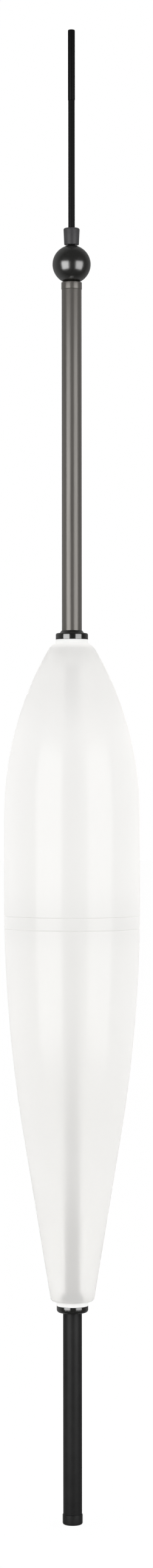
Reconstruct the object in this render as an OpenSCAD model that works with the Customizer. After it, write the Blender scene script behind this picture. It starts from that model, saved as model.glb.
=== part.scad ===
// Through-line casting float with a water-fillable body, as separate pieces on one axis.
// Sizes are in millimetres. +Z runs up the axis, and the origin is the centre of the lower end.

/* [Body] */
// Largest outside diameter of the body
body_d = 21.3; // [17:0.1:27]
// Wall thickness of both shells
wall = 0.9; // [0.6:0.05:1.3]
// Length of the straight middle
straight_len = 13.3; // [8:0.1:24]
// Length of the rounded nose
nose_len = 26.8; // [20:0.1:36]
// Slope of the tail's flank, in degrees from the axis
tail_angle = 9.37; // [7.5:0.01:12]
// Radius that turns the straight middle into the tail's flank
tail_blend_r = 225; // [150:1:280]
// Width of the nose's end face around its bore
nose_lip = 0.82; // [0.6:0.02:1.4]
// Width of the tail's end face around its bore
tail_lip = 1.87; // [1.4:0.02:2.4]
// Bevel on the outer rims of both end faces
rim_bevel = 0.25; // [0.1:0.05:0.4]
// Length of the thick neck around each bore
neck_len = 4.2; // [3.8:0.1:6]

/* [Joint band] */
// Height of the band that shows between the two shells
band_h = 2; // [1:0.1:4]
// Distance from the start of the tail's curve down to the band
band_drop = 2.4; // [1:0.1:6]
// Reach of the spigots into both shells
spigot_h = 2.5; // [1.5:0.1:5]
// Wall thickness of the spigots
spigot_wall = 0.8; // [0.5:0.05:1.2]
// Diameter of the hub around the core tube
hub_d = 5; // [4:0.1:7]
// Number of spokes between the hub and the band
spokes = 4; // [3:1:6]
// Thickness of a spoke
spoke_w = 0.8; // [0.5:0.05:1.5]

/* [Core] */
// Outside diameter of the core tube
core_d = 2; // [1.6:0.05:2.4]
// Bore of the core tube
core_bore_d = 1.1; // [0.8:0.05:1.3]
// Length of the core tube below the lower collar
core_tail = 8.5; // [5:0.1:12]
// Height of the stop ring at the top of the core tube
stop_h = 3; // [2:0.1:5]

/* [Upper stem and plug] */
// Length of the stem that shows between the flange and the bead seat
up_stem_len = 53.7; // [40:0.1:70]
// Wall thickness of the stem
up_stem_wall = 0.25; // [0.15:0.01:0.4]
// Wall thickness of the bush that carries the stem on the core tube
bush_wall = 0.25; // [0.15:0.01:0.4]
// Length of the bush with its plug
bush_len = 14; // [8:0.1:18]
// How far the stem pulls out
pull_travel = 8; // [6:0.1:12]
// Length of the plug inside the neck
plug_len = 3.6; // [3:0.1:3.8]
// Bevel on the plug's leading edge
plug_bevel = 0.3; // [0.1:0.05:0.35]
// Reach of the O-ring groove's floor past the stem
groove_reach = 0.29; // [0.2:0.01:0.5]
// Thickness of the O-ring
o_ring_d = 0.4; // [0.3:0.02:0.7]
// Height of the flange
up_flange_h = 1; // [0.9:0.05:2]
// Reach of the flange past the neck's bore
up_flange_lip = 0.24; // [0.16:0.02:0.5]
// Rounding of the flange's upper edge
up_flange_round = 0.75; // [0.4:0.05:0.8]
// Height of the seal under the flange
up_seal_h = 0.64; // [0.4:0.02:1.2]

/* [Lower stem] */
// Length of the stem that shows between the lip and the flange
low_stem_len = 31.5; // [22:0.1:45]
// Wall thickness of the stem
low_stem_wall = 0.46; // [0.3:0.02:0.6]
// Depth of the stem's seat in the body's tail
low_socket = 1.1; // [0.6:0.1:3]
// Height of the flange
low_flange_h = 1.05; // [0.8:0.05:1.6]
// Reach of the flange past the stem
low_flange_lip = 0.99; // [0.8:0.01:1.3]
// Rounding of the flange's lower edge
low_flange_round = 0.75; // [0.3:0.05:0.75]
// Height of the seal above the flange
low_seal_h = 0.75; // [0.4:0.05:1.2]
// Height of the lip at the lower end
lip_h = 1.6; // [1.2:0.1:3]
// Reach of the lip past the stem
lip_reach = 0.09; // [0.05:0.01:0.3]
// Rounding of the lip's lower edge
lip_round = 0.3; // [0.2:0.05:0.5]
// Length of the line guide inside the stem
guide_len = 3; // [2:0.1:6]
// Bore for the line at the lower end
guide_bore_d = 0.7; // [0.5:0.05:1.1]
// Bevel that leads the line into the lower end
guide_bevel = 0.3; // [0.1:0.05:0.35]
// Bore of the ballast
ballast_bore_d = 1.1; // [0.8:0.05:1.3]

/* [Bead and antenna] */
// Diameter of the bead
bead_d = 6; // [4.5:0.1:8]
// Height of the seat under the bead
seat_h = 1.07; // [0.9:0.01:2.2]
// Width of the seat's flat rim around its hollow
seat_rim = 0.48; // [0.04:0.02:0.6]
// Reach of the seat past the stem
seat_reach = 0.05; // [0.02:0.01:0.3]
// Depth of the antenna's socket below the seat
socket_depth = 8.5; // [6:0.1:12]
// Thickness of the socket's floor
socket_floor = 1; // [0.6:0.1:2]
// Diameter of the antenna's rod
rod_d = 1.03; // [0.9:0.01:1.2]
// Bore for the line through the antenna
line_bore_d = 0.5; // [0.36:0.02:0.56]
// Length of the rod between the bead and the tip, with the sleeve on it
rod_len = 22.6; // [16:0.1:30]
// Length of the antenna's tip
tip_len = 11; // [7:0.1:16]
// Step from the rod out to the tip
tip_step = 0.035; // [0.03:0.005:0.1]
// Rounding of the tip's upper edge
tip_round = 0.2; // [0.05:0.01:0.22]
// Length of the rod's spigot inside the tip
tip_spigot = 2; // [1:0.1:4]
// Wall thickness of that spigot
tip_spigot_wall = 0.15; // [0.1:0.01:0.16]
// Length of the sleeve
sleeve_len = 2.6; // [2:0.1:5]
// Diameter of the sleeve at its upper end
sleeve_top_d = 2.56; // [2:0.02:3.2]
// Diameter of the sleeve at its lower end
sleeve_low_d = 2.31; // [2:0.02:3.2]
// Rounding of the sleeve's upper edge
sleeve_round = 0.25; // [0.1:0.05:0.4]

/* [Fits] */
// Radial gap of glued pieces
fit_glue = 0.02; // [0.01:0.01:0.04]
// Radial gap of the stem's bush on the core tube
fit_run = 0.05; // [0.02:0.01:0.08]
// Radial gap of the plug in the neck
fit_plug = 0.08; // [0.05:0.01:0.12]
// Radial gap on both sides of the O-ring
fit_ring = 0.02; // [0.01:0.01:0.04]
// Radial gap of the antenna in its socket
fit_rod = 0.03; // [0.02:0.01:0.06]
// Radial gap of the sleeve on the antenna
fit_sleeve = 0.02; // [0.01:0.005:0.025]
// Radial gap of the bead on the antenna
fit_bead = 0.08; // [0.05:0.01:0.15]
// Gap between the bead and the pieces above and below it
bead_gap = 0.05; // [0.02:0.01:0.1]
// Gap at both ends of the ballast
ballast_gap = 0.1; // [0.05:0.05:0.3]
// Play of the O-ring along its groove
ring_play = 0.06; // [0.02:0.02:0.2]

/* [Hidden] */

// Smoothness of turned pieces, and of the long arcs in their sections
turn_fn = 96;
arc_fn = 720;
// Overshoot of cuts past the surfaces that they open
past = 1;
// The tail's flank is drawn in by a hair, so that it crosses its blend instead of just touching it
tuck = 0.001;
// Largest share of an edge's wall that its rounding may take
edge_share = 0.9;
// Grid for worked-out heights, so that stacked pieces meet exactly
grid = 0.01;
function snap(x) = round(x / grid) * grid;

// Radii, from the core tube outwards
core_r = core_d / 2;
bush_r = core_r + fit_run + bush_wall;
up_stem_bore_r = bush_r + fit_glue;
up_stem_r = up_stem_bore_r + up_stem_wall;
collar_bore_r = up_stem_r + fit_glue;
groove_r = up_stem_r + groove_reach;
neck_r = groove_r + o_ring_d + 2 * fit_ring;
up_flange_r = neck_r + up_flange_lip;
low_stem_r = core_r + fit_glue + low_stem_wall;
low_seat_r = low_stem_r + fit_glue;
low_flange_r = low_stem_r + low_flange_lip;
lip_r = low_stem_r + lip_reach;
seat_r = up_stem_r + seat_reach;
body_r = body_d / 2;
nose_end_r = neck_r + nose_lip;
tail_end_r = low_seat_r + tail_lip;
bead_r = bead_d / 2;
rod_r = rod_d / 2;
tip_r = rod_r + tip_step;
line_r = line_bore_d / 2;
tip_spigot_r = line_r + tip_spigot_wall;

// Arc of the nose: tangent to the straight middle and through the end face's rim
nose_drop = body_r - nose_end_r;
nose_r = snap((nose_len ^ 2 + nose_drop ^ 2) / (2 * nose_drop));
// The tail's flank meets the straight middle through its blend
tail_drop = body_r - tail_end_r;
tail_len = snap(tail_drop / tan(tail_angle) + tail_blend_r * tan(tail_angle / 2));

// Heights, from the lower end upwards
z_low_flange = lip_h + low_stem_len;
z_low_seal = z_low_flange + low_flange_h;
z_tail = z_low_seal + low_seal_h;
z_low_socket = z_tail + low_socket;
z_mid = z_tail + tail_len;
z_nose = z_mid + straight_len;
z_nose_end = z_nose + nose_len;
z_up_flange = z_nose_end + up_seal_h;
z_up_stem = z_up_flange + up_flange_h;
z_seat = z_up_stem + up_stem_len;
z_seat_rim = z_seat + seat_h;
z_bead = z_seat_rim + snap(sqrt((bead_r + bead_gap) ^ 2 - (seat_r - seat_rim) ^ 2));
z_bead_top = z_bead + bead_r;
z_sleeve = z_bead_top + bead_gap;
z_tip = z_sleeve + rod_len;
z_top = z_tip + tip_len;
z_rod = z_seat - socket_depth;
z_band_top = z_mid - band_drop;
z_band_low = z_band_top - band_h;
z_plug = z_nose_end - plug_len;
z_bush_top = z_plug + bush_len;
z_stop = z_bush_top + pull_travel;
z_core_top = z_stop + stop_h;
z_core = z_low_flange - core_tail;
z_guide_top = lip_h + guide_len;

// Spigots of the joint band: the lower one follows the tail's curve where it is narrowest
spigot_r = body_r - wall - fit_glue;
spigot_bore_r = spigot_r - spigot_wall;
low_spigot_z = z_band_low - spigot_h;
low_spigot_r = body_r - tail_blend_r - fit_glue
    + sqrt((tail_blend_r - wall) ^ 2 - (z_mid - low_spigot_z) ^ 2);

// Colours, as seen on the object
milky = [0.93, 0.93, 0.91];
gunmetal = [0.42, 0.41, 0.4];
gloss_black = [0.06, 0.06, 0.055];
matt_black = [0.1, 0.1, 0.1];
sleeve_grey = [0.35, 0.345, 0.37];
seal_white = [0.95, 0.95, 0.94];
core_dark = [0.2, 0.19, 0.18];
bush_white = [0.88, 0.87, 0.83];
brass = [0.72, 0.56, 0.3];

// Part of a half section between two radii and two heights
module bar(r_in, r_out, z_low, z_high) {
    polygon([[r_in, z_low], [r_out, z_low], [r_out, z_high], [r_in, z_high]]);
}

// Part of a disc between two heights, on the outer side of a radius
module disc_slice(r_c, z_c, r, r_in, z_low, z_high) {
    intersection() {
        translate([r_c, z_c])
            circle(r, $fn = arc_fn);
        bar(r_in, r_c + r + past, z_low, z_high);
    }
}

// Half section of a ring whose outer edge is rounded above
module round_top(r_in, r_out, z_low, z_high, rounding) {
    edge = min(rounding, edge_share * (z_high - z_low), edge_share * (r_out - r_in));
    bar(r_in, r_out, z_low, z_high - edge);
    bar(r_in, r_out - edge, z_high - edge, z_high);
    disc_slice(r_out - edge, z_high - edge, edge, r_out - edge, z_high - edge, z_high + past);
}

// The same with the rounding below
module round_low(r_in, r_out, z_low, z_high, rounding) {
    translate([0, z_low + z_high])
        mirror([0, 1])
            round_top(r_in, r_out, z_low, z_high, rounding);
}

// A turned piece from its half section
module turned() {
    rotate_extrude($fn = turn_fn)
        children();
}

// Plain tube between two heights
module tube(r_in, r_out, z_low, z_high) {
    turned()
        bar(r_in, r_out, z_low, z_high);
}

// Half section of the body's outline, drawn in from its outer surface
module body_outline(inset) {
    blend_r = tail_blend_r - inset;
    z_flank = z_mid - blend_r * sin(tail_angle);
    flank_r = body_r - tail_blend_r + blend_r * cos(tail_angle) - tuck;
    flank_end_r = tail_end_r - inset / cos(tail_angle) - tuck;
    polygon([[0, z_tail], [flank_end_r, z_tail], [flank_r, z_flank], [0, z_flank]]);
    disc_slice(body_r - tail_blend_r, z_mid, blend_r, 0, z_flank - past, z_mid);
    bar(0, body_r - inset, z_mid, z_nose);
    disc_slice(body_r - nose_r, z_nose, nose_r - inset, 0, z_nose, z_nose_end);
}

// Triangle that bevels a rim at an end face, inwards along the axis for side 1 or -1
module rim_cut(r, z, side) {
    polygon([[r - rim_bevel, z], [r + past, z], [r + past, z - side * (rim_bevel + past)]]);
}

// Half section of the shells between two heights, with the bore of their neck
module shell_section(bore_r, z_low, z_high) {
    difference() {
        intersection() {
            body_outline(0);
            bar(bore_r, body_d, z_low, z_high);
        }
        intersection() {
            body_outline(wall);
            bar(0, body_d, z_tail + neck_len, z_nose_end - neck_len);
        }
        rim_cut(nose_end_r, z_nose_end, 1);
        rim_cut(tail_end_r, z_tail, -1);
    }
}

module antenna_tip() {
    color(matt_black)
        turned()
            difference() {
                round_top(line_r, tip_r, z_tip, z_top, tip_round);
                bar(0, tip_spigot_r + fit_glue, z_tip - past, z_tip + tip_spigot + fit_glue);
            }
}

module antenna_rod() {
    color(matt_black)
        turned() {
            bar(line_r, rod_r, z_rod, z_tip);
            bar(line_r, tip_spigot_r, z_rod, z_tip + tip_spigot);
        }
}

module antenna_sleeve() {
    bore_r = rod_r + fit_sleeve;
    low_r = sleeve_low_d / 2;
    top_r = sleeve_top_d / 2;
    z_sleeve_top = z_sleeve + sleeve_len;
    z_round = z_sleeve_top - sleeve_round;
    color(sleeve_grey)
        turned() {
            polygon([[bore_r, z_sleeve], [low_r, z_sleeve], [top_r, z_round], [bore_r, z_round]]);
            bar(bore_r, top_r - sleeve_round, z_round, z_sleeve_top);
            disc_slice(top_r - sleeve_round, z_round, sleeve_round, top_r - sleeve_round, z_round, z_top);
        }
}

module bead() {
    color(gloss_black)
        turned()
            disc_slice(0, z_bead, bead_r, rod_r + fit_bead, z_bead - bead_d, z_bead + bead_d);
}

module bead_seat() {
    bore_r = rod_r + fit_rod;
    z_floor = z_rod - socket_floor;
    color(gunmetal)
        turned()
            difference() {
                union() {
                    bar(bore_r, seat_r, z_seat, z_seat_rim);
                    bar(bore_r, bush_r, z_rod, z_seat);
                    bar(line_r, bush_r, z_floor, z_rod);
                }
                translate([0, z_bead])
                    circle(bead_r + bead_gap, $fn = arc_fn);
            }
}

module upper_stem() {
    color(gunmetal)
        tube(up_stem_bore_r, up_stem_r, z_nose_end, z_seat);
}

module guide_bush() {
    bore_r = core_r + fit_run;
    plug_r = neck_r - fit_plug;
    z_ring = z_plug + plug_len / 2;
    groove_w = o_ring_d + 2 * ring_play;
    color(bush_white)
        turned() {
            bar(bore_r, bush_r, z_plug, z_bush_top);
            difference() {
                bar(bore_r, plug_r, z_plug, z_nose_end);
                bar(groove_r, neck_r, z_ring - groove_w / 2, z_ring + groove_w / 2);
                polygon([
                    [plug_r - plug_bevel, z_plug],
                    [plug_r + past, z_plug],
                    [plug_r + past, z_plug + plug_bevel + past]
                ]);
            }
        }
}

module upper_collar() {
    color(gloss_black)
        turned()
            round_top(collar_bore_r, up_flange_r, z_up_flange, z_up_stem, up_flange_round);
}

module upper_seal() {
    color(seal_white)
        tube(collar_bore_r, up_flange_r, z_nose_end, z_up_flange);
}

module upper_o_ring() {
    ring_r = o_ring_d / 2;
    color(seal_white)
        turned()
            translate([groove_r + fit_ring + ring_r, z_plug + plug_len / 2])
                circle(ring_r, $fn = turn_fn);
}

module upper_shell() {
    color(milky)
        turned()
            shell_section(neck_r, z_band_top, z_nose_end);
}

module joint_spider() {
    color(milky)
        difference() {
            union() {
                turned() {
                    intersection() {
                        body_outline(0);
                        bar(spigot_bore_r, body_d, z_band_low, z_band_top);
                    }
                    bar(spigot_bore_r, spigot_r, z_band_top, z_band_top + spigot_h);
                    bar(spigot_bore_r, low_spigot_r, low_spigot_z, z_band_low);
                }
                tube(0, hub_d / 2, z_band_low, z_band_top);
                for (i = [0 : spokes - 1])
                    rotate([0, 0, 360 * i / spokes])
                        translate([0, -spoke_w / 2, z_band_low])
                            cube([spigot_bore_r + spigot_wall / 2, spoke_w, band_h]);
            }
            tube(0, core_r + fit_glue, z_band_low - past, z_band_top + past);
        }
}

module lower_shell() {
    color(milky)
        turned()
            difference() {
                shell_section(core_r + fit_glue, z_tail, z_band_low);
                bar(0, low_seat_r, z_tail - past, z_low_socket);
            }
}

module core_tube() {
    color(core_dark)
        tube(core_bore_d / 2, core_r, z_core, z_core_top);
}

module core_stop() {
    color(bush_white)
        tube(core_r + fit_glue, up_stem_bore_r - fit_run, z_stop, z_core_top);
}

module lower_seal() {
    color(seal_white)
        tube(low_seat_r, low_flange_r, z_low_seal, z_tail);
}

module lower_collar() {
    color(gloss_black)
        turned()
            round_low(low_seat_r, low_flange_r, z_low_flange, z_low_seal, low_flange_round);
}

module lower_stem() {
    color(matt_black)
        tube(core_r + fit_glue, low_stem_r, lip_h, z_low_socket);
}

module ballast() {
    color(brass)
        tube(ballast_bore_d / 2, core_r, z_guide_top + ballast_gap, z_core - ballast_gap);
}

module line_guide() {
    bore_r = guide_bore_d / 2;
    color(matt_black)
        turned()
            difference() {
                union() {
                    round_low(bore_r, lip_r, 0, lip_h, lip_round);
                    bar(bore_r, core_r, lip_h, z_guide_top);
                }
                polygon([[0, -past], [bore_r + guide_bevel + past, -past], [0, bore_r + guide_bevel]]);
            }
}

antenna_tip();
antenna_rod();
antenna_sleeve();
bead();
bead_seat();
upper_stem();
guide_bush();
upper_collar();
upper_seal();
upper_o_ring();
upper_shell();
joint_spider();
lower_shell();
core_tube();
core_stop();
lower_seal();
lower_collar();
lower_stem();
ballast();
line_guide();
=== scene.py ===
from math import cos, pi, radians, sin, sqrt, tan

import bpy
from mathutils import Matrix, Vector


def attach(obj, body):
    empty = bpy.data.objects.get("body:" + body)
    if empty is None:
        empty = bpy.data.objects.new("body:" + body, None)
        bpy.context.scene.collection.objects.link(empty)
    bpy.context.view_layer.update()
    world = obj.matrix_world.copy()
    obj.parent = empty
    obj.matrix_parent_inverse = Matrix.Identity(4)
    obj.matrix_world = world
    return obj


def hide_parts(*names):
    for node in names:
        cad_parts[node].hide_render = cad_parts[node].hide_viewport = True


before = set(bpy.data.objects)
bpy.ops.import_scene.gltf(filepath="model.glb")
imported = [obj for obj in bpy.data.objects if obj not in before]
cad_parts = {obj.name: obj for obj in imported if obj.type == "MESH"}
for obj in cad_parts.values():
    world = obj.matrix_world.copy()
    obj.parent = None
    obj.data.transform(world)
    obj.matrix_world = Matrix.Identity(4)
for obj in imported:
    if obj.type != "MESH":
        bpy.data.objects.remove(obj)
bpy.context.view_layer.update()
scene = bpy.context.scene
scene.view_settings.view_transform = "Standard"
mm = 0.001


# camera, level with the middle of the picture, in millimetres
shot = {
    "pictureSize": (252, 2576),
    "mmPerPixel": 0.0951,   # at the float's axis
    "distance": 520,
    "height": 115.63,
    "aside": 0.7,           # the float stands a little left of the middle
    "lean": 0.05,           # and leans left by this many degrees
    "sensorHeight": 8,
    "clipStart": 10,
}

lens = bpy.data.cameras.new("shotCamera")
lens.sensor_fit = "VERTICAL"
lens.sensor_height = shot["sensorHeight"]
lens.lens = shot["sensorHeight"] * shot["distance"] / (shot["pictureSize"][1] * shot["mmPerPixel"])
lens.clip_start = shot["clipStart"] * mm
camera = bpy.data.objects.new("shotCamera", lens)
camera.location = (shot["aside"] * mm, -shot["distance"] * mm, shot["height"] * mm)
camera.rotation_euler = (radians(90), radians(shot["lean"]), 0)
scene.collection.objects.link(camera)
scene.camera = camera


# two soft boxes beside the camera, a white backdrop, a pale floor and a dim room, in metres
studio = {
    "boxDistance": 0.37,
    "boxHeight": 0.305,
    "boxMiddle": 0.1225,              # above the floor
    "leftBox": (-40, 0.306, 2.4),     # bearing from the camera's side in degrees, width, level
    "rightBox": (48.5, 0.3, 1.95),
    "roomFront": 0.2,                 # on plain surfaces, from the camera's side and from behind
    "roomBack": 1.29,
    "roomStart": -1,                  # it gets brighter from here on, where 1 is the brightest place
    "roomBright": (0.12, 0.9, 0.8),   # the way to that place
    "glintFront": 0.045,              # the same four in glossy surfaces
    "glintBack": 0.32,
    "glintStart": -0.1,
    "glintBright": (-0.2, 0.95, 0),
    "paper": (0.94, 0.94, 0.94, 1),   # of the floor and the backdrop
    "floorWhite": 0.96,               # share of the floor that ignores shadow
    "floorSize": 14,
    "floorFront": -0.06,              # the floor's front edge is just before the float
    "floorLevel": -0.0001,            # just under the part
    "backdropAway": 4.5,
    "backdropSize": 2.6,
}


def softBox(name, bearing, width, level):
    lamp = bpy.data.lights.new(name, "AREA")
    lamp.shape = "RECTANGLE"
    lamp.size, lamp.size_y = width, studio["boxHeight"]
    lamp.energy = level * pi * width * studio["boxHeight"]   # the level holds for any size of box
    box = bpy.data.objects.new(name, lamp)
    angle = radians(bearing)
    away = studio["boxDistance"]
    box.location = (away * sin(angle), -away * cos(angle), studio["boxMiddle"])
    box.rotation_euler = (radians(90), 0, angle)
    scene.collection.objects.link(box)


softBox("softBoxLeft", *studio["leftBox"])
softBox("softBoxRight", *studio["rightBox"])


def rayFlag(tree, *kinds):
    path = tree.nodes.new("ShaderNodeLightPath")
    flag = path.outputs[kinds[0]]
    for kind in kinds[1:]:
        either = tree.nodes.new("ShaderNodeMath")
        either.operation = "MAXIMUM"
        tree.links.new(flag, either.inputs[0])
        tree.links.new(path.outputs[kind], either.inputs[1])
        flag = either.outputs[0]
    return flag


def paperFinish(name, white, *kinds):
    paper = bpy.data.materials.new(name)
    paper.use_nodes = True
    tree = paper.node_tree
    tree.nodes.clear()
    lit = tree.nodes.new("ShaderNodeBsdfDiffuse")
    lit.inputs["Color"].default_value = studio["paper"]
    glow = tree.nodes.new("ShaderNodeEmission")   # strength 1 is white
    share = tree.nodes.new("ShaderNodeMath")
    share.operation = "MULTIPLY"
    share.inputs[1].default_value = white
    tree.links.new(rayFlag(tree, *kinds), share.inputs[0])
    mix = tree.nodes.new("ShaderNodeMixShader")
    tree.links.new(share.outputs[0], mix.inputs["Fac"])
    tree.links.new(lit.outputs[0], mix.inputs[1])
    tree.links.new(glow.outputs[0], mix.inputs[2])
    out = tree.nodes.new("ShaderNodeOutputMaterial")
    tree.links.new(mix.outputs[0], out.inputs["Surface"])
    return paper


def stageSheet(name, corners, paper):
    sheet = bpy.data.meshes.new(name)
    sheet.from_pydata(corners, [], [(0, 1, 2, 3)])
    sheet.materials.append(paper)
    stand = bpy.data.objects.new(name, sheet)
    scene.collection.objects.link(stand)
    return stand


half, front, level = studio["floorSize"] / 2, studio["floorFront"], studio["floorLevel"]
floor = stageSheet(
    "floor",
    [(-half, front, level), (half, front, level), (half, half, level), (-half, half, level)],
    paperFinish("floorPaper", studio["floorWhite"], "Is Camera Ray", "Is Transmission Ray"),
)
floor.visible_glossy = False   # the bead and the stem show the dim room below them
half, away = studio["backdropSize"] / 2, studio["backdropAway"]
stageSheet(
    "backdrop",
    [(-half, away, 0), (half, away, 0), (half, away, 2 * half), (-half, away, 2 * half)],
    paperFinish("backdropPaper", 1, "Is Camera Ray", "Is Glossy Ray", "Is Transmission Ray"),
)

world = bpy.data.worlds.new("dimRoom")
scene.world = world
world.use_nodes = True
roomTree = world.node_tree
room = roomTree.nodes["Background"]
room.inputs["Color"].default_value = (1, 1, 1, 1)


def roomLevel(towards, start, low, high):   # brighter behind the float
    way = roomTree.nodes.new("ShaderNodeVectorMath")
    way.operation = "DOT_PRODUCT"
    way.inputs[1].default_value = towards
    roomTree.links.new(roomTree.nodes.new("ShaderNodeTexCoord").outputs["Generated"], way.inputs[0])
    spread = roomTree.nodes.new("ShaderNodeMapRange")
    spread.inputs["From Min"].default_value = start
    spread.inputs["To Min"].default_value = low
    spread.inputs["To Max"].default_value = high
    roomTree.links.new(way.outputs["Value"], spread.inputs["Value"])
    return spread.outputs[0]


plain = roomLevel(studio["roomBright"], studio["roomStart"], studio["roomFront"], studio["roomBack"])
mirrored = roomLevel(studio["glintBright"], studio["glintStart"], studio["glintFront"], studio["glintBack"])
glint = roomTree.nodes.new("ShaderNodeMapRange")   # plain light, or less of it in reflections
roomTree.links.new(plain, glint.inputs["To Min"])
roomTree.links.new(mirrored, glint.inputs["To Max"])
roomTree.links.new(rayFlag(roomTree, "Is Glossy Ray"), glint.inputs["Value"])
white = roomTree.nodes.new("ShaderNodeMath")       # the picture's ground stays white
white.operation = "MAXIMUM"
roomTree.links.new(glint.outputs[0], white.inputs[0])
roomTree.links.new(rayFlag(roomTree, "Is Camera Ray", "Is Transmission Ray"), white.inputs[1])
roomTree.links.new(white.outputs[0], room.inputs["Strength"])
print("studio ready")


# helpers for the finishes: all patterns are sized in millimetres on the piece itself
noiseUse = {
    "low": 0.3, "high": 0.7,   # most of the noise lies between these
    "cloudDetail": 2, "grainDetail": 4,
}


def startFinish(name):
    finish = bpy.data.materials.new(name)
    finish.use_nodes = True
    tree = finish.node_tree
    place = tree.nodes.new("ShaderNodeTexCoord").outputs["Object"]
    return finish, tree, tree.nodes["Principled BSDF"], place


def grain(tree, place, perMm, detail, stretch):
    scale = tree.nodes.new("ShaderNodeMapping")
    scale.inputs["Scale"].default_value = [s / mm for s in stretch]
    tree.links.new(place, scale.inputs["Vector"])
    noise = tree.nodes.new("ShaderNodeTexNoise")
    noise.inputs["Scale"].default_value = perMm
    noise.inputs["Detail"].default_value = detail
    tree.links.new(scale.outputs["Vector"], noise.inputs["Vector"])
    return noise.outputs["Fac"]


def tint(tree, pattern, low, high, shader):
    ramp = tree.nodes.new("ShaderNodeValToRGB")
    ramp.color_ramp.elements[0].position = noiseUse["low"]
    ramp.color_ramp.elements[1].position = noiseUse["high"]
    ramp.color_ramp.elements[0].color = (*low, 1)
    ramp.color_ramp.elements[1].color = (*high, 1)
    tree.links.new(pattern, ramp.inputs["Fac"])
    tree.links.new(ramp.outputs["Color"], shader.inputs["Base Color"])


def sheen(tree, pattern, low, high, shader):
    spread = tree.nodes.new("ShaderNodeMapRange")
    spread.inputs["From Min"].default_value = noiseUse["low"]
    spread.inputs["From Max"].default_value = noiseUse["high"]
    spread.inputs["To Min"].default_value = low
    spread.inputs["To Max"].default_value = high
    tree.links.new(pattern, spread.inputs["Value"])
    tree.links.new(spread.outputs[0], shader.inputs["Roughness"])


def relief(tree, pattern, depth, shader):
    bump = tree.nodes.new("ShaderNodeBump")
    bump.inputs["Distance"].default_value = depth * mm
    tree.links.new(pattern, bump.inputs["Height"])
    tree.links.new(bump.outputs["Normal"], shader.inputs["Normal"])


def plainFinish(name, look):
    finish, tree, shader, place = startFinish(name)
    stretch = look.get("stretch", (1, 1, 1))
    cloud = grain(tree, place, look["cloud"], noiseUse["cloudDetail"], stretch)
    tint(tree, cloud, *look["colours"], shader)
    fine = grain(tree, place, look["grain"], noiseUse["grainDetail"], stretch)
    sheen(tree, fine, *look["roughness"], shader)
    relief(tree, fine, look["depth"], shader)
    for socket, value in look.get("sockets", {}).items():
        shader.inputs[socket].default_value = value
    return finish


# finishes, in the colours of the real pieces
antennaLook = {
    "colours": ((0.004, 0.004, 0.004), (0.007, 0.007, 0.007)),
    "cloud": 0.5, "grain": 9, "roughness": (0.42, 0.56), "depth": 0.001, "stretch": (1, 1, 0.05),
    "sockets": {"Specular IOR Level": 0.22},
}
tipLook = {
    "colours": ((0.003, 0.003, 0.003), (0.005, 0.005, 0.005)),
    "cloud": 0.5, "grain": 9, "roughness": (0.34, 0.46), "depth": 0.001, "stretch": (1, 1, 0.05),
    "sockets": {"Specular IOR Level": 0.18},
}
sleeveLook = {
    "colours": ((0.049, 0.048, 0.051), (0.06, 0.059, 0.063)),
    "cloud": 0.8, "grain": 11, "roughness": (0.36, 0.48), "depth": 0.004,
}
beadLook = {
    "colours": ((0.003, 0.003, 0.002), (0.006, 0.006, 0.004)),
    "cloud": 0.35, "grain": 4, "roughness": (0.21, 0.26), "depth": 0.0006,
    "sockets": {"IOR": 2.9},
}
stemLook = {
    "colours": ((0.182, 0.171, 0.157), (0.228, 0.215, 0.199)),
    "cloud": 1.2, "grain": 7, "roughness": (0.29, 0.37), "depth": 0.0015, "stretch": (1, 1, 0.02),
    "sockets": {"Metallic": 0.6, "Coat Weight": 0.5, "Coat Roughness": 0.12, "Coat IOR": 1.48},
}
collarLook = {
    "colours": ((0.005, 0.005, 0.004), (0.008, 0.008, 0.007)),
    "cloud": 0.5, "grain": 5, "roughness": (0.1, 0.17), "depth": 0.001,
    "sockets": {"IOR": 2.75},
}
sealLook = {
    "colours": ((0.885, 0.885, 0.875), (0.915, 0.915, 0.905)),
    "cloud": 0.6, "grain": 8, "roughness": (0.5, 0.62), "depth": 0.004,
}
ringLook = {
    "colours": ((0.84, 0.84, 0.82), (0.88, 0.88, 0.86)),
    "cloud": 0.9, "grain": 10, "roughness": (0.3, 0.4), "depth": 0.002,
    "sockets": {"Transmission Weight": 0.6, "IOR": 1.2},
}
coreLook = {
    "colours": ((0.045, 0.036, 0.029), (0.06, 0.05, 0.041)),
    "cloud": 0.6, "grain": 6, "roughness": (0.45, 0.6), "depth": 0.002, "stretch": (1, 1, 0.05),
}
bushLook = {
    "colours": ((0.89, 0.885, 0.865), (0.94, 0.935, 0.92)),
    "cloud": 0.6, "grain": 8, "roughness": (0.4, 0.5), "depth": 0.003,
    "sockets": {"Transmission Weight": 0.5, "IOR": 1.15},
}
tailLook = {
    "colours": ((0.009, 0.009, 0.009), (0.013, 0.013, 0.013)),
    "cloud": 0.4, "grain": 12, "roughness": (0.4, 0.5), "depth": 0.002,
    "sockets": {"Specular IOR Level": 0.4},
}
brassLook = {
    "colours": ((0.55, 0.38, 0.14), (0.64, 0.46, 0.2)),
    "cloud": 0.5, "grain": 6, "roughness": (0.25, 0.38), "depth": 0.003, "stretch": (0.05, 0.05, 1),
    "sockets": {"Metallic": 1.0},
}
antennaBlack = plainFinish("antennaBlack", antennaLook)
tipBlack = plainFinish("tipBlack", tipLook)
sleeveGrey = plainFinish("sleeveGrey", sleeveLook)
beadBlack = plainFinish("beadBlack", beadLook)
stemGunmetal = plainFinish("stemGunmetal", stemLook)
collarBlack = plainFinish("collarBlack", collarLook)
sealWhite = plainFinish("sealWhite", sealLook)
ringClear = plainFinish("ringClear", ringLook)
coreDark = plainFinish("coreDark", coreLook)
bushWhite = plainFinish("bushWhite", bushLook)
tailBlack = plainFinish("tailBlack", tailLook)
ballastBrass = plainFinish("ballastBrass", brassLook)

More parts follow.
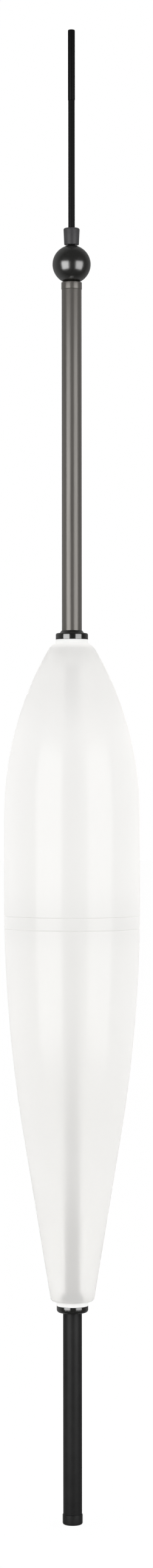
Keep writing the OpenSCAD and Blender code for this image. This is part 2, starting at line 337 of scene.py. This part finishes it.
milkyLook = {
    "colours": ((0.963, 0.956, 0.934), (0.957, 0.95, 0.938)),
    "cloud": 0.05, "grain": 1.6, "roughness": (0.6, 0.68), "depth": 0.002, "stretch": (1, 1, 0.3),
    "sockets": {
        "IOR": 1.2, "Specular IOR Level": 0.0, "Coat Weight": 0.19, "Coat Roughness": 0.16, "Coat IOR": 2.2,
    },
    "clarity": (   # height in millimetres and share of light let through, both ends first
        (35, 0.46), (137.5, 0.02),
        (42, 0.42), (58, 0.31), (85, 0.172), (106, 0.11), (122, 0.127), (132, 0.242), (136.7, 0.31),
    ),
}
liningLook = {
    "colours": ((0.985, 0.985, 0.98), (0.98, 0.98, 0.985)),
    "cloud": 0.05, "grain": 1.6, "roughness": (0.5, 0.6), "depth": 0.002, "stretch": (1, 1, 0.3),
    "sockets": {"Alpha": 0.0},
}


def clearing(finish, stops):   # the moulding is clearer towards its ends
    tree = finish.node_tree
    axis = tree.nodes.new("ShaderNodeSeparateXYZ")
    tree.links.new(tree.nodes.new("ShaderNodeTexCoord").outputs["Object"], axis.inputs[0])
    along = tree.nodes.new("ShaderNodeMapRange")
    low, high = stops[0][0], stops[1][0]
    along.inputs["From Min"].default_value = low * mm
    along.inputs["From Max"].default_value = high * mm
    tree.links.new(axis.outputs["Z"], along.inputs["Value"])
    ramp = tree.nodes.new("ShaderNodeValToRGB")
    ramp.color_ramp.interpolation = "EASE"
    marks = ramp.color_ramp.elements
    for z, clear in stops:
        place = (z - low) / (high - low)
        mark = marks[int(place)] if place in (0, 1) else marks.new(place)
        mark.color = (clear, clear, clear, 1)
    tree.links.new(along.outputs[0], ramp.inputs["Fac"])
    tree.links.new(ramp.outputs["Color"], tree.nodes["Principled BSDF"].inputs["Transmission Weight"])


shellMilky = plainFinish("shellMilky", milkyLook)
clearing(shellMilky, milkyLook["clarity"])
shellLining = plainFinish("shellLining", liningLook)
print("finishes ready:", len([m for m in bpy.data.materials if m.use_nodes]))


# turning on the axis: a profile of points in the XZ plane becomes a closed turned piece
lathe = {
    "turns": 96, "fineTurns": 128, "crease": 34, "weld": 0.001,
    "roundSteps": 6, "roundShare": 0.48,   # a rounding takes no more than this share of an edge
}


def addNode(tree, kind, **settings):
    node = tree.nodes.new(kind)
    for name, value in settings.items():
        setattr(node, name, value)
    return node


def calc(tree, operation, first, second=None):
    node = addNode(tree, "ShaderNodeMath", operation=operation)
    for value, socket in zip((first, second), node.inputs):
        if isinstance(value, bpy.types.NodeSocket):
            tree.links.new(value, socket)
        elif value is not None:
            socket.default_value = value
    return node.outputs[0]


def startTree(name, inputs):
    tree = bpy.data.node_groups.new(name, "GeometryNodeTree")
    ids = {}
    for label, kind in inputs:
        ids[label] = tree.interface.new_socket(label, in_out="INPUT", socket_type=kind).identifier
    tree.interface.new_socket("Piece", in_out="OUTPUT", socket_type="NodeSocketGeometry")
    return tree, ids, tree.nodes.new("NodeGroupInput").outputs


def endTree(tree, geometry, given):
    link = tree.links.new
    real = addNode(tree, "GeometryNodeRealizeInstances")
    paint = addNode(tree, "GeometryNodeSetMaterial")
    link(geometry, real.inputs["Geometry"])
    link(real.outputs["Geometry"], paint.inputs["Geometry"])
    link(given["Finish"], paint.inputs["Material"])
    link(paint.outputs["Geometry"], tree.nodes.new("NodeGroupOutput").inputs["Piece"])


def turningTree():
    tree, ids, given = startTree("turnedPiece", (
        ("Profile", "NodeSocketGeometry"), ("Turns", "NodeSocketInt"), ("Crease", "NodeSocketFloat"),
        ("Weld", "NodeSocketFloat"), ("Finish", "NodeSocketMaterial"),
    ))
    link = tree.links.new
    size = addNode(tree, "GeometryNodeAttributeDomainSize", component="MESH")
    link(given["Profile"], size.inputs["Geometry"])
    count = size.outputs["Point Count"]
    grid = addNode(tree, "GeometryNodeMeshGrid")   # profile points along X, turns along Y
    grid.inputs["Size X"].default_value = grid.inputs["Size Y"].default_value = 1
    link(count, grid.inputs["Vertices X"])
    link(calc(tree, "ADD", given["Turns"], 1), grid.inputs["Vertices Y"])
    here = addNode(tree, "ShaderNodeSeparateXYZ")
    link(addNode(tree, "GeometryNodeInputPosition").outputs[0], here.inputs[0])
    across = calc(tree, "ADD", here.outputs["X"], 0.5)   # the grid runs from -0.5 to 0.5
    along = calc(tree, "MULTIPLY", across, calc(tree, "SUBTRACT", count, 1))
    angle = calc(tree, "MULTIPLY", calc(tree, "ADD", here.outputs["Y"], 0.5), 2 * pi)
    point = addNode(tree, "GeometryNodeSampleIndex", data_type="FLOAT_VECTOR", domain="POINT")
    link(given["Profile"], point.inputs["Geometry"])
    link(addNode(tree, "GeometryNodeInputPosition").outputs[0], point.inputs["Value"])
    link(calc(tree, "ROUND", along), point.inputs["Index"])
    flat = addNode(tree, "ShaderNodeSeparateXYZ")
    link(point.outputs[0], flat.inputs[0])
    turned = addNode(tree, "ShaderNodeCombineXYZ")
    link(calc(tree, "MULTIPLY", flat.outputs["X"], calc(tree, "COSINE", angle)), turned.inputs["X"])
    link(calc(tree, "MULTIPLY", flat.outputs["X"], calc(tree, "SINE", angle)), turned.inputs["Y"])
    link(flat.outputs["Z"], turned.inputs["Z"])
    move = addNode(tree, "GeometryNodeSetPosition")
    link(grid.outputs["Mesh"], move.inputs["Geometry"])
    link(turned.outputs[0], move.inputs["Position"])
    weld = addNode(tree, "GeometryNodeMergeByDistance")
    link(move.outputs["Geometry"], weld.inputs["Geometry"])
    link(given["Weld"], weld.inputs["Distance"])
    flip = addNode(tree, "GeometryNodeFlipFaces")
    link(weld.outputs["Geometry"], flip.inputs["Mesh"])
    soft = addNode(tree, "GeometryNodeSetShadeSmooth", domain="FACE")
    link(flip.outputs["Mesh"], soft.inputs["Geometry"])
    crease = addNode(tree, "GeometryNodeSetShadeSmooth", domain="EDGE")
    crease.inputs["Shade Smooth"].default_value = False
    link(soft.outputs["Geometry"], crease.inputs["Geometry"])
    bend = addNode(tree, "GeometryNodeInputMeshEdgeAngle").outputs["Unsigned Angle"]
    link(calc(tree, "GREATER_THAN", bend, given["Crease"]), crease.inputs["Selection"])
    endTree(tree, crease.outputs["Geometry"], given)
    return tree, ids


def spokeTree():
    tree, ids, given = startTree("spokeRing", (
        ("Geometry", "NodeSocketGeometry"), ("Count", "NodeSocketInt"), ("From", "NodeSocketFloat"),
        ("To", "NodeSocketFloat"), ("Width", "NodeSocketFloat"), ("Low", "NodeSocketFloat"),
        ("High", "NodeSocketFloat"), ("Finish", "NodeSocketMaterial"),
    ))
    link = tree.links.new
    index = addNode(tree, "GeometryNodeInputIndex").outputs[0]
    angle = calc(tree, "DIVIDE", calc(tree, "MULTIPLY", index, 2 * pi), given["Count"])
    middle = calc(tree, "MULTIPLY", calc(tree, "ADD", given["From"], given["To"]), 0.5)
    place = addNode(tree, "ShaderNodeCombineXYZ")
    link(calc(tree, "MULTIPLY", middle, calc(tree, "COSINE", angle)), place.inputs["X"])
    link(calc(tree, "MULTIPLY", middle, calc(tree, "SINE", angle)), place.inputs["Y"])
    link(calc(tree, "MULTIPLY", calc(tree, "ADD", given["Low"], given["High"]), 0.5), place.inputs["Z"])
    points = addNode(tree, "GeometryNodePoints")
    link(given["Count"], points.inputs["Count"])
    link(place.outputs[0], points.inputs["Position"])
    size = addNode(tree, "ShaderNodeCombineXYZ")
    link(calc(tree, "SUBTRACT", given["To"], given["From"]), size.inputs["X"])
    link(given["Width"], size.inputs["Y"])
    link(calc(tree, "SUBTRACT", given["High"], given["Low"]), size.inputs["Z"])
    bar = addNode(tree, "GeometryNodeMeshCube")
    link(size.outputs[0], bar.inputs["Size"])
    turn = addNode(tree, "ShaderNodeCombineXYZ")
    link(angle, turn.inputs["Z"])
    repeat = addNode(tree, "GeometryNodeInstanceOnPoints")
    link(points.outputs[0], repeat.inputs["Points"])
    link(bar.outputs["Mesh"], repeat.inputs["Instance"])
    link(turn.outputs[0], repeat.inputs["Rotation"])
    endTree(tree, repeat.outputs["Instances"], given)
    return tree, ids


turning, turningIds = turningTree()
spoking, spokingIds = spokeTree()


def makePiece(name, points, tree, ids, values):
    start = bpy.data.meshes.new(name + "Profile")
    start.from_pydata(points, [], [])
    piece = bpy.data.objects.new(name, start)
    scene.collection.objects.link(piece)
    shaping = piece.modifiers.new("shaping", "NODES")
    shaping.node_group = tree
    for label, value in values.items():
        shaping[ids[label]] = value
    shown = bpy.context.evaluated_depsgraph_get()
    made = bpy.data.meshes.new_from_object(piece.evaluated_get(shown), depsgraph=shown)
    piece.modifiers.clear()
    made.materials.clear()
    made.materials.append(values["Finish"])
    piece.data = made
    made.name = name
    bpy.data.meshes.remove(start)
    return piece


def turnPiece(name, loop, finish, turns=lathe["turns"]):
    points = [(r * mm, 0, z * mm) for r, z in loop + loop[:1]]   # the loop runs outwards, up, inwards, down
    return makePiece(name, points, turning, turningIds, {
        "Turns": turns, "Crease": radians(lathe["crease"]), "Weld": lathe["weld"] * mm, "Finish": finish,
    })


def roundedLoop(corners, steps=lathe["roundSteps"]):   # a corner's third number is its rounding
    loop = []
    for i, (r, z, *rounding) in enumerate(corners):
        here = Vector((r, z))
        if not rounding:
            loop.append((r, z))
            continue
        before = Vector(corners[i - 1][:2]) - here
        after = Vector(corners[(i + 1) % len(corners)][:2]) - here
        opening = before.angle(after) / 2
        limit = lathe["roundShare"] * min(before.length, after.length)
        reach = min(rounding[0] / tan(opening), limit)
        before, after = before.normalized() * reach, after.normalized() * reach
        middle = (before + after).normalized() * (reach / cos(opening))
        for k in range(steps + 1):
            arm = (before - middle).slerp(after - middle, k / steps).normalized()
            loop.append(tuple(here + middle + arm * (reach * tan(opening))))
    return loop


def dress(piece, body, slot, *nodes):
    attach(piece, body)
    if nodes:
        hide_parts(*nodes)


# antenna: tube, darker tip and the grey sleeve on it
antenna = {
    "bore": 0.25, "edge": 0.04,
    "rodRadius": 0.515, "rodLow": 184.4, "rodHigh": 222.45, "spigot": 0.4, "spigotHigh": 224.45,
    "tipRadius": 0.55, "tipHigh": 233.45, "tipRound": 0.2, "tipSeat": 0.42, "tipSeatHigh": 224.47,
}
a, e = antenna, antenna["edge"]
dress(turnPiece("antennaTube", roundedLoop([
    (a["bore"], a["rodLow"], e), (a["rodRadius"], a["rodLow"], e), (a["rodRadius"], a["rodHigh"], e),
    (a["spigot"], a["rodHigh"]), (a["spigot"], a["spigotHigh"], e), (a["bore"], a["spigotHigh"], e),
]), antennaBlack), "antenna", "antenna_black", "antenna_rod")
dress(turnPiece("antennaTip", roundedLoop([
    (a["tipSeat"], a["rodHigh"]), (a["tipRadius"], a["rodHigh"], e),
    (a["tipRadius"], a["tipHigh"], a["tipRound"]), (a["bore"], a["tipHigh"], e),
    (a["bore"], a["tipSeatHigh"]), (a["tipSeat"], a["tipSeatHigh"]),
]), tipBlack), "antenna", "antenna_black", "antenna_tip")

sleeve = {
    "bore": 0.535, "lowRadius": 1.155, "highRadius": 1.28, "low": 199.85, "high": 202.45,
    "round": 0.25, "edge": 0.08,
}
s, e = sleeve, sleeve["edge"]
dress(turnPiece("antennaSleeve", roundedLoop([
    (s["bore"], s["low"], e), (s["lowRadius"], s["low"], e),
    (s["highRadius"], s["high"], s["round"]), (s["bore"], s["high"], e),
]), sleeveGrey), "sleeve", "sleeve_grey", "antenna_sleeve")
print("antenna and sleeve turned")


# bead, and the seat that it turns in
bead = {"radius": 3.0, "bore": 0.595, "middle": 196.8, "edge": 0.1, "edgeDrop": 0.07, "steps": 64}
tilt = sqrt(bead["radius"] ** 2 - (bead["bore"] + bead["edge"]) ** 2)
flank = []
for i in range(bead["steps"] + 1):
    height = -cos(pi * i / bead["steps"]) * tilt
    flank.append((sqrt(bead["radius"] ** 2 - height ** 2), bead["middle"] + height))
lead = tilt - bead["edgeDrop"]
dress(turnPiece("turningBead", [
    (bead["bore"], bead["middle"] - lead), *flank, (bead["bore"], bead["middle"] + lead),
], beadBlack, lathe["fineTurns"]), "bead", "bead_black", "bead")

seat = {
    "bore": 0.545, "line": 0.25, "radius": 1.62, "rim": 0.48, "low": 192.9, "high": 193.97, "hollow": 3.05,
    "plug": 1.3, "socket": 184.4, "floor": 183.4, "edge": 0.05, "steps": 12,
}
cup = []
for i in range(seat["steps"] + 1):
    r = seat["radius"] - seat["rim"] + (seat["bore"] - seat["radius"] + seat["rim"]) * i / seat["steps"]
    cup.append((r, bead["middle"] - sqrt(seat["hollow"] ** 2 - r ** 2)))
s, e = seat, seat["edge"]
dress(turnPiece("beadSeat", roundedLoop([
    (s["line"], s["floor"]), (s["plug"], s["floor"], e), (s["plug"], s["low"]), (s["radius"], s["low"], e),
    (s["radius"], s["high"], e), *cup, (s["bore"], s["socket"]), (s["line"], s["socket"]),
]), stemGunmetal), "fill_stem", "stem_gunmetal", "bead_seat")
print("bead and seat turned")


# filling stem: tube, collar and seal, and the bush with its plug and ring
stem = {"bore": 1.32, "radius": 1.57, "low": 137.56, "high": 192.9, "edge": 0.04}
s, e = stem, stem["edge"]
dress(turnPiece("fillingStem", roundedLoop([
    (s["bore"], s["low"], e), (s["radius"], s["low"], e),
    (s["radius"], s["high"], e), (s["bore"], s["high"], e),
]), stemGunmetal, lathe["fineTurns"]), "fill_stem", "stem_gunmetal", "upper_stem")

collar = {
    "bore": 1.59, "radius": 2.54, "low": 138.2, "high": 139.2,
    "round": 0.75, "roundSteps": 10, "edge": 0.04,
    "neck": 1.63, "neckFoot": 1.95, "neckHigh": 139.6,   # a small cone at the stem's foot
}
c, e = collar, collar["edge"]
dress(turnPiece("fillingCollar", roundedLoop([
    (c["bore"], c["low"], e), (c["radius"], c["low"], e), (c["radius"], c["high"], c["round"]),
    (c["neckFoot"], c["high"]), (c["neck"], c["neckHigh"]), (c["bore"], c["neckHigh"]),
], c["roundSteps"]), collarBlack, lathe["fineTurns"]), "fill_stem", "collar_black", "upper_collar")

bush = {
    "bore": 1.05, "radius": 1.3, "high": 147.92,   # leaves a little room below the core's stop
    "plug": 2.22, "plugLow": 133.96, "plugHigh": 137.56, "bevel": 0.3,
    "groove": 1.86, "grooveLow": 135.5, "grooveHigh": 136.02, "edge": 0.04,
}
b, e = bush, bush["edge"]
dress(turnPiece("guideBush", roundedLoop([
    (b["bore"], b["plugLow"], e), (b["plug"] - b["bevel"], b["plugLow"], e),
    (b["plug"], b["plugLow"] + b["bevel"], e),
    (b["plug"], b["grooveLow"], e), (b["groove"], b["grooveLow"]), (b["groove"], b["grooveHigh"]),
    (b["plug"], b["grooveHigh"], e), (b["plug"], b["plugHigh"], e), (b["radius"], b["plugHigh"]),
    (b["radius"], b["high"], e), (b["bore"], b["high"], e),
]), bushWhite), "fill_stem", "bush_white", "guide_bush")

upperSeal = {"bore": 1.59, "radius": 2.54, "low": 137.56, "high": 138.2, "edge": 0.06}
lowerSeal = {"bore": 1.5, "radius": 2.47, "low": 34.15, "high": 34.9, "edge": 0.06}


def turnSeal(name, seal):
    e = seal["edge"]
    return turnPiece(name, roundedLoop([
        (seal["bore"], seal["low"], e), (seal["radius"], seal["low"], e),
        (seal["radius"], seal["high"], e), (seal["bore"], seal["high"], e),
    ]), sealWhite, lathe["fineTurns"])


dress(turnSeal("upperSeal", upperSeal), "fill_stem", "seal_white", "upper_seal")
dress(turnSeal("lowerSeal", lowerSeal), "float_body", "seal_white", "lower_seal")

plugRing = {"away": 2.08, "middle": 135.76, "radius": 0.2, "steps": 20}
angles = [2 * pi * i / plugRing["steps"] for i in range(plugRing["steps"])]
p = plugRing
dress(turnPiece("plugRing", [
    (p["away"] + p["radius"] * cos(angle), p["middle"] + p["radius"] * sin(angle)) for angle in angles
], ringClear), "fill_stem", "o_ring_clear", "upper_o_ring")
print("filling stem turned")


# body: two milky shells that meet in a band, on the core tube
body = {
    "radius": 10.65, "wall": 0.9, "straightLow": 97.46, "straightHigh": 110.76,
    "tailEnd": 34.9, "tailEndRadius": 3.37, "tailSlope": 9.37, "tailBlend": 225,
    "noseEnd": 137.56, "noseEndRadius": 3.12, "rim": 0.25,
    "neckBore": 2.3, "neckLength": 4.2, "neckEdge": 0.08,
    "coreBore": 1.02, "stemBore": 1.5, "stemSeat": 36.0,
    "bandLow": 93.06, "bandHigh": 95.06, "seam": 0.07, "seamRoom": 3,   # in roundings of the seam
    "rimZone": 0.9, "flankFrom": 1,          # from the ends: close points up to the first, then wider ones
    "rimSteps": 9, "flankSteps": 84, "wallSteps": 60, "turns": 192,
    "liningDepth": 0.3, "liningEnds": 0.1,   # how far under the outside and from the ends the lining starts
}
noseDrop = body["radius"] - body["noseEndRadius"]
noseArc = ((body["noseEnd"] - body["straightHigh"]) ** 2 + noseDrop ** 2) / (2 * noseDrop)


def bodyRadius(z, inset=0.0):
    if z > body["straightHigh"]:   # arc of the nose
        return body["radius"] - noseArc + sqrt((noseArc - inset) ** 2 - (z - body["straightHigh"]) ** 2)
    if z >= body["straightLow"]:
        return body["radius"] - inset
    blend, slope = body["tailBlend"] - inset, radians(body["tailSlope"])
    turn = body["straightLow"] - blend * sin(slope)   # the tail's curve runs out into its flank here
    if z >= turn:
        return body["radius"] - body["tailBlend"] + sqrt(blend ** 2 - (body["straightLow"] - z) ** 2)
    return body["radius"] - body["tailBlend"] + blend * cos(slope) - (turn - z) * tan(slope)


def outerRadius(z):
    return min(
        bodyRadius(z), body["noseEndRadius"] - body["rim"] + body["noseEnd"] - z,
        body["tailEndRadius"] - body["rim"] + z - body["tailEnd"],
    )


def lineInside(piece):
    piece.data.materials.append(shellLining)
    for face in piece.data.polygons:
        r, z = face.center.xy.length / mm, face.center.z / mm
        between = body["tailEnd"] + body["liningEnds"] < z < body["noseEnd"] - body["liningEnds"]
        face.material_index = int(between and r < outerRadius(z) - body["liningDepth"])
    return piece


def heights(low, high, count):
    return [low + (high - low) * i / count for i in range(count + 1)]


def outside(low, high, count):
    return [(outerRadius(z), z) for z in heights(low, high, count)]


def inside(low, high):
    return [(bodyRadius(z, body["wall"]), z) for z in heights(low, high, body["wallSteps"])]


seamGap = body["seamRoom"] * body["seam"]
noseEnd, bandHigh, neckLow = body["noseEnd"], body["bandHigh"], body["noseEnd"] - body["neckLength"]
dress(lineInside(turnPiece("noseShell", roundedLoop([
    (outerRadius(bandHigh), bandHigh, body["seam"]),
    *outside(bandHigh + seamGap, noseEnd - body["flankFrom"], body["flankSteps"]),
    *outside(noseEnd - body["rimZone"], noseEnd, body["rimSteps"]),
    (body["neckBore"], noseEnd, body["neckEdge"]), (body["neckBore"], neckLow), *inside(neckLow, bandHigh),
]), shellMilky, body["turns"])), "float_body", "shell_milky", "upper_shell")

tailEnd, bandLow, neckHigh = body["tailEnd"], body["bandLow"], body["tailEnd"] + body["neckLength"]
dress(lineInside(turnPiece("tailShell", roundedLoop([
    (body["stemBore"], tailEnd, body["neckEdge"]),
    *outside(tailEnd, tailEnd + body["rimZone"], body["rimSteps"]),
    *outside(tailEnd + body["flankFrom"], bandLow - seamGap, body["flankSteps"]),
    (outerRadius(bandLow), bandLow, body["seam"]), *inside(bandLow, neckHigh), (body["coreBore"], neckHigh),
    (body["coreBore"], body["stemSeat"]), (body["stemBore"], body["stemSeat"]),
]), shellMilky, body["turns"])), "float_body", "shell_milky", "lower_shell")

band = {
    "bore": 8.93, "highSpigot": 9.73, "lowSpigot": 9.624, "reach": 2.5, "hub": 2.5, "hubBore": 1.02,
    "spokes": 4, "spokeWidth": 0.8, "spokeFrom": 2.4, "spokeTo": 9.2, "edge": 0.07,
}
b, e = band, band["edge"]
spigotLow, spigotHigh = bandLow - b["reach"], bandHigh + b["reach"]
dress(lineInside(turnPiece("jointBand", roundedLoop([
    (b["bore"], spigotLow, e), (b["lowSpigot"], spigotLow, e), (b["lowSpigot"], bandLow),
    (bodyRadius(bandLow), bandLow, e), (bodyRadius(bandHigh), bandHigh, e),
    (b["highSpigot"], bandHigh), (b["highSpigot"], spigotHigh, e), (b["bore"], spigotHigh, e),
]), shellMilky, body["turns"])), "float_body", "shell_milky", "joint_spider")
dress(turnPiece("jointHub", roundedLoop([
    (b["hubBore"], bandLow), (b["hub"], bandLow, e), (b["hub"], bandHigh, e), (b["hubBore"], bandHigh),
]), coreDark, lathe["fineTurns"]), "float_body", "core_dark")   # dark where the core passes
dress(makePiece("jointSpokes", [(0, 0, 0)], spoking, spokingIds, {
    "Count": b["spokes"], "Width": b["spokeWidth"] * mm,
    "From": b["spokeFrom"] * mm, "To": b["spokeTo"] * mm,
    "Low": bandLow * mm, "High": bandHigh * mm, "Finish": coreDark,
}), "float_body", "core_dark")

core = {"bore": 0.55, "radius": 1.0, "low": 24.6, "high": 158.96, "edge": 0.04}
c, e = core, core["edge"]
dress(turnPiece("coreTube", roundedLoop([
    (c["bore"], c["low"], e), (c["radius"], c["low"], e),
    (c["radius"], c["high"], e), (c["bore"], c["high"], e),
]), coreDark), "float_body", "core_dark", "core_tube")
print("body turned")


# tail: collar, matt stem and the line guide at its end
tail = {
    "flange": 2.47, "flangeLow": 33.1, "flangeHigh": 34.15, "round": 0.75, "roundSteps": 10, "edge": 0.04,
    "coreBore": 1.02, "stemBore": 1.5, "stemHigh": 36.0, "stemRadius": 1.48, "stemLow": 1.6,
    "lip": 1.57, "lipRound": 0.3, "lipSteps": 8, "guide": 1.0, "guideHigh": 4.6, "line": 0.35, "lead": 0.3,
}
t, e = tail, tail["edge"]
dress(turnPiece("tailCollar", roundedLoop([
    (t["stemBore"], t["flangeLow"], e), (t["flange"], t["flangeLow"], t["round"]),
    (t["flange"], t["flangeHigh"], e), (t["stemBore"], t["flangeHigh"], e),
], t["roundSteps"]), collarBlack, lathe["fineTurns"]), "float_body", "collar_black", "lower_collar")
dress(turnPiece("tailStem", roundedLoop([
    (t["coreBore"], t["stemLow"], e), (t["stemRadius"], t["stemLow"], e),
    (t["stemRadius"], t["stemHigh"], e), (t["coreBore"], t["stemHigh"], e),
]), tailBlack, lathe["fineTurns"]), "float_body", "tail_black", "lower_stem")
dress(turnPiece("lineGuide", roundedLoop([
    (t["line"], t["lead"], e), (t["line"] + t["lead"], 0, e), (t["lip"], 0, t["lipRound"]),
    (t["lip"], t["stemLow"], e), (t["guide"], t["stemLow"]), (t["guide"], t["guideHigh"], e),
    (t["line"], t["guideHigh"], e),
], t["lipSteps"]), tailBlack, lathe["fineTurns"]), "float_body", "tail_black", "line_guide")
print("tail turned")


# inner pieces keep their solids and get their finish
for node, finish in (("core_stop", bushWhite), ("ballast", ballastBrass)):
    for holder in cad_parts[node].material_slots:
        holder.material = finish
print("inner pieces finished")
